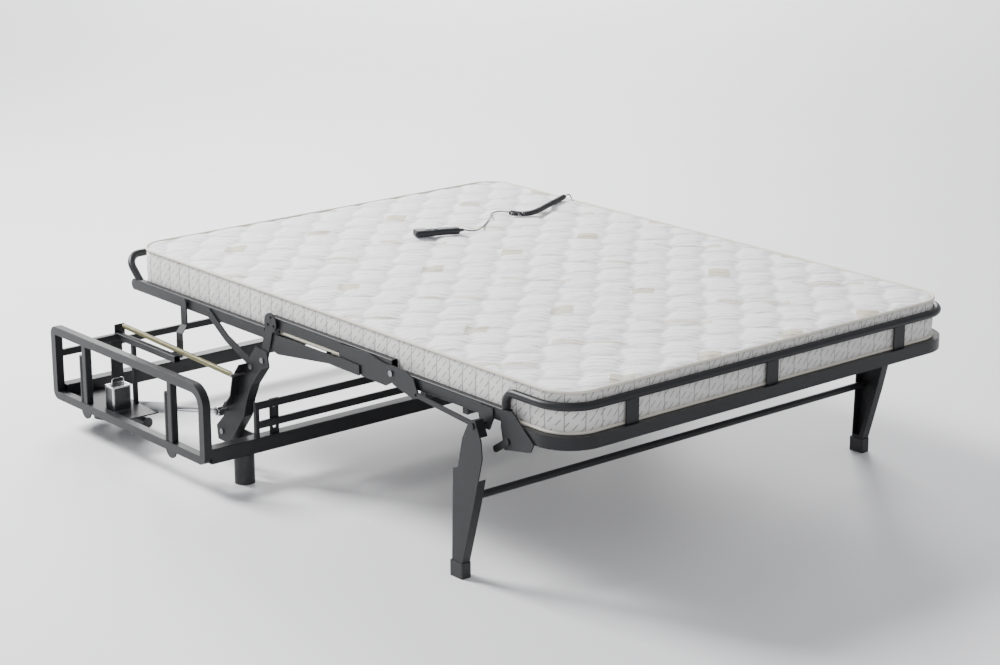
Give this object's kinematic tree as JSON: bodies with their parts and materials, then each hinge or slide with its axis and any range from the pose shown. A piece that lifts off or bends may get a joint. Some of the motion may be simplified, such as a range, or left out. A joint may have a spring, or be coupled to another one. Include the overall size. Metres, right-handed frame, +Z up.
{
  "type": "adjustable bed base",
  "caption": "Motorised fold-out sofa bed mechanism, opened flat, with a one-piece quilted mattress, folding legs, low steel base and a corded handset.",
  "frame": {"origin": "on the floor, under the middle of the open mechanism's bounding box", "axes": "+Z up, +Y along the bed towards the head end, +X across the bed"},
  "size_m": [1.856, 2.094, 0.5799],
  "materials": {
    "dark_steel": "satin powder coat",
    "pin_steel": "dark zinc",
    "black_rubber": "matt",
    "black_plastic": "fine grain",
    "handset_plastic": "fine grain",
    "handset_keys": "satin",
    "cord_jacket": "satin",
    "actuator_grey": "satin",
    "chrome_rod": "polished",
    "khaki_spring": "oiled wire",
    "cream_rod": "satin",
    "mattress_cover": "quilted"
  },
  "bodies": {
    "base": {"base_beams": "dark_steel", "base_rear_bar": "dark_steel", "apron_bars": "dark_steel", "base_feet": "black_rubber", "side_frames": "dark_steel", "side_uprights": "dark_steel", "armrest_posts": "dark_steel", "corner_rails": "dark_steel", "corner_stands": "dark_steel", "arm_brackets": "dark_steel", "base_pivots": "pin_steel", "control_box": "black_plastic", "control_box_handle": "chrome_rod", "long_springs": "khaki_spring", "actuator_brackets": "dark_steel"},
    "drive_arms": {"drive_arms": "dark_steel", "drive_arm_pins": "pin_steel"},
    "knob_arms": {"knob_arms": "dark_steel"},
    "curved_links": {"curved_links": "dark_steel"},
    "rear_links": {"rear_links": "dark_steel"},
    "actuator_bodies": {"actuator_tubes": "actuator_grey", "actuator_motors": "black_plastic"},
    "actuator_rods": {"actuator_rods": "chrome_rod"},
    "head_section": {"head_frame": "dark_steel", "head_slats": "dark_steel", "head_loop": "dark_steel", "mattress_head": "mattress_cover", "mattress_head_fold": "mattress_cover", "cord_clip": "black_plastic", "handset_body": "handset_plastic", "handset_gland": "black_rubber", "handset_cord_plain": "cord_jacket", "handset_cord_curly": "cord_jacket"},
    "up_key": {"handset_up_key": "handset_keys"},
    "down_key": {"handset_down_key": "handset_keys"},
    "middle_section": {"mid_frame": "dark_steel", "mid_slats": "dark_steel", "mid_hinge_plates": "dark_steel", "foot_hinge_pins": "pin_steel", "mid_spring_rods": "cream_rod", "mattress_mid": "mattress_cover", "mid_link_bars": "dark_steel"},
    "foot_section": {"foot_frame": "dark_steel", "foot_slats": "dark_steel", "foot_hinge_plates": "dark_steel", "foot_gussets": "dark_steel", "foot_end_tube": "dark_steel", "foot_loop": "dark_steel", "foot_straps": "dark_steel", "leg_brackets": "dark_steel", "mattress_foot": "mattress_cover", "mattress_foot_fold": "mattress_cover"},
    "legs": {"legs": "dark_steel", "leg_shoes": "black_rubber", "leg_bar": "dark_steel"},
    "leg_links": {"leg_links": "dark_steel"}
  },
  "joints": [
    {"name": "drive_arm_turn", "type": "hinge", "parent": "base", "child": "drive_arms", "pos_m": [0, 0.418, 0.1], "axis": [-1, 0, 0], "range_deg": [0, 34], "deforming": ["long_springs"]},
    {"name": "curved_link_turn", "type": "hinge", "parent": "drive_arms", "child": "curved_links", "pos_m": [0, 0.262, 0.33], "axis": [-1, 0, 0], "range_deg": [0, 54.5]},
    {"name": "head_turn", "type": "hinge", "parent": "curved_links", "child": "head_section", "pos_m": [0, 0.484, 0.438], "axis": [-1, 0, 0], "range_deg": [-88.5, 0]},
    {"name": "knob_arm_turn", "type": "hinge", "parent": "drive_arms", "child": "knob_arms", "pos_m": [0, 0.205, 0.362], "axis": [-1, 0, 0], "range_deg": [-127.53, 0]},
    {"name": "rear_link_turn", "type": "hinge", "parent": "base", "child": "rear_links", "pos_m": [0, 0.609, 0.2935], "axis": [-1, 0, 0], "range_deg": [0, 160.74]},
    {"name": "actuator_tilt", "type": "hinge", "parent": "base", "child": "actuator_bodies", "pos_m": [0, 0.905, 0.062], "axis": [-1, 0, 0], "range_deg": [0, 1.38]},
    {"name": "actuator_stroke", "type": "slide", "parent": "actuator_bodies", "child": "actuator_rods", "axis": [0, 0.9778, -0.2097], "range_m": [0, 0.04321]},
    {"name": "middle_fold", "type": "hinge", "parent": "head_section", "child": "middle_section", "pos_m": [0, 0.201, 0.576], "axis": [-1, 0, 0], "range_deg": [0, 180], "deforming": ["mattress_head_fold"]},
    {"name": "foot_fold", "type": "hinge", "parent": "middle_section", "child": "foot_section", "pos_m": [0, -0.379, 0.462], "axis": [-1, 0, 0], "range_deg": [-80, 0], "deforming": ["mattress_foot_fold"]},
    {"name": "leg_fold", "type": "hinge", "parent": "foot_section", "child": "legs", "pos_m": [0, -0.752, 0.42], "axis": [-1, 0, 0], "range_deg": [-65, 0]},
    {"name": "leg_link_turn", "type": "hinge", "parent": "legs", "child": "leg_links", "pos_m": [0, -0.739, 0.41], "axis": [-1, 0, 0], "range_deg": [0, 65]},
    {"name": "up_key_press", "type": "slide", "parent": "head_section", "child": "up_key", "axis": [0, 0, -1], "range_m": [0, 0.0012], "stiffness_N_per_m": 400},
    {"name": "down_key_press", "type": "slide", "parent": "head_section", "child": "down_key", "axis": [0, 0, -1], "range_m": [0, 0.0012], "stiffness_N_per_m": 400}
  ],
  "couplings": [
    {"joint": "curved_link_turn", "follows": "drive_arm_turn", "ratio": 1.6029},
    {"joint": "head_turn", "follows": "drive_arm_turn", "ratio": -2.6029},
    {"joint": "knob_arm_turn", "follows": "drive_arm_turn", "ratio": -3.751},
    {"joint": "rear_link_turn", "follows": "drive_arm_turn", "ratio": 4.7277},
    {"joint": "actuator_tilt", "follows": "drive_arm_turn", "ratio": 0.040434},
    {"joint": "middle_fold", "follows": "drive_arm_turn", "ratio": 5.2941},
    {"joint": "foot_fold", "follows": "drive_arm_turn", "ratio": -2.3529},
    {"joint": "leg_fold", "follows": "drive_arm_turn", "ratio": -1.9118},
    {"joint": "leg_link_turn", "follows": "drive_arm_turn", "ratio": 1.9118},
    {"joint": "actuator_stroke", "follows": "drive_arm_turn", "m_per_rad": 0.072643}
  ]
}
